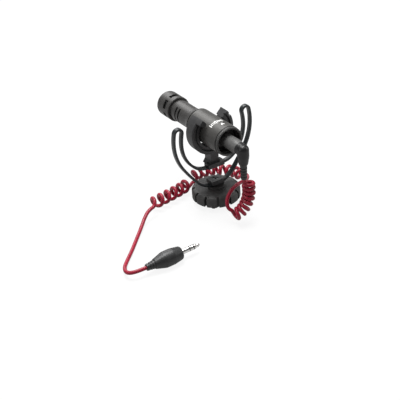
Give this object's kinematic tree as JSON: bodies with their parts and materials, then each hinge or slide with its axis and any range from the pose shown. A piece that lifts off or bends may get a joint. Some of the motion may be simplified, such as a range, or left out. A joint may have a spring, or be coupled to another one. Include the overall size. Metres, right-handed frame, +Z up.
{
  "type": "on-camera microphone",
  "caption": "Slotted barrel microphone in a clip on a flexible lyre shock mount, on a shoe foot with a lock ring, with a curly patch cord and two plugs.",
  "frame": {"origin": "centre of the shoe foot's underside, on the mouth of its threaded hole", "axes": "+Y the way the microphone points, +Z up, +X to the right seen from behind the microphone"},
  "size_m": [0.1296, 0.1097, 0.069],
  "materials": {
    "barrel_metal": "fine matte warm dark grey anodising",
    "head_metal": "fine matte dark grey anodising",
    "bezel_metal": "satin dark grey, finely ribbed",
    "screen": "fine woven wire",
    "soft_black": "matte",
    "clip_plastic": "fine moulded texture",
    "lyre_plastic": "smooth matte slate black",
    "foot_plastic": "fine moulded texture",
    "ring_plastic": "fine moulded texture",
    "plug_plastic": "smooth overmoulding",
    "inner_plastic": "plain moulded",
    "board": "solder mask",
    "pin_metal": "bright plated",
    "brass": "turned and plated",
    "steel": "plain",
    "cord": "smooth satin crimson"
  },
  "bodies": {
    "root": {"lyre": "lyre_plastic", "lyre_clamp": "clip_plastic", "clamp_screw": "steel", "shoe_foot": "foot_plastic", "thread_insert": "brass", "coil_hanging": "cord", "cord_loop": "cord", "coil_middle": "cord", "coil_left": "cord", "cord_lead": "cord", "straight_plug_body": "plug_plastic", "straight_plug_relief": "plug_plastic", "straight_plug_pin": "pin_metal", "straight_plug_insulators": "inner_plastic"},
    "cradle": {"mic_clip": "clip_plastic", "clip_pads": "soft_black", "angle_plug_body": "plug_plastic", "angle_plug_relief": "plug_plastic", "angle_plug_pin": "pin_metal", "angle_plug_insulators": "inner_plastic"},
    "microphone": {"barrel": "barrel_metal", "rear_bezel": "bezel_metal", "jack_cup": "inner_plastic", "head_tube": "head_metal", "joint_seal": "soft_black", "head_cap": "head_metal", "front_mesh": "screen", "cap_screen": "screen", "tube_screen": "screen", "capsule_can": "steel", "capsule_diaphragm": "brass", "capsule_backplate": "inner_plastic", "capsule_boot": "soft_black", "capsule_leads": "cord", "circuit_board": "board", "board_parts": "inner_plastic", "jack_contacts": "brass", "jack_socket": "inner_plastic", "jack_bushing": "brass"},
    "washer": {"ring_washer": "soft_black"},
    "lock_ring": {"lock_ring": "ring_plastic"}
  },
  "joints": [
    {"name": "sway", "type": "slide", "parent": "root", "child": "cradle", "axis": [0, 1, 0], "range_m": [-0.005, 0.005], "stiffness_N_per_m": 444, "deforming": ["lyre", "coil_hanging"]},
    {"name": "mic_roll", "type": "hinge", "parent": "cradle", "child": "microphone", "pos_m": [0, 0, 0.0555], "axis": [0, 1, 0], "continuous": true},
    {"name": "ring_lift", "type": "slide", "parent": "root", "child": "washer", "axis": [0, 0, 1], "range_m": [-0.00163, 0.00073]},
    {"name": "ring_turn", "type": "hinge", "parent": "washer", "child": "lock_ring", "pos_m": [0, 0, 0.0076], "axis": [0, 0, 1], "range_deg": [-390, 175]}
  ],
  "couplings": [
    {"joint": "ring_lift", "follows": "ring_turn", "m_per_rad": 0.0002387}
  ]
}
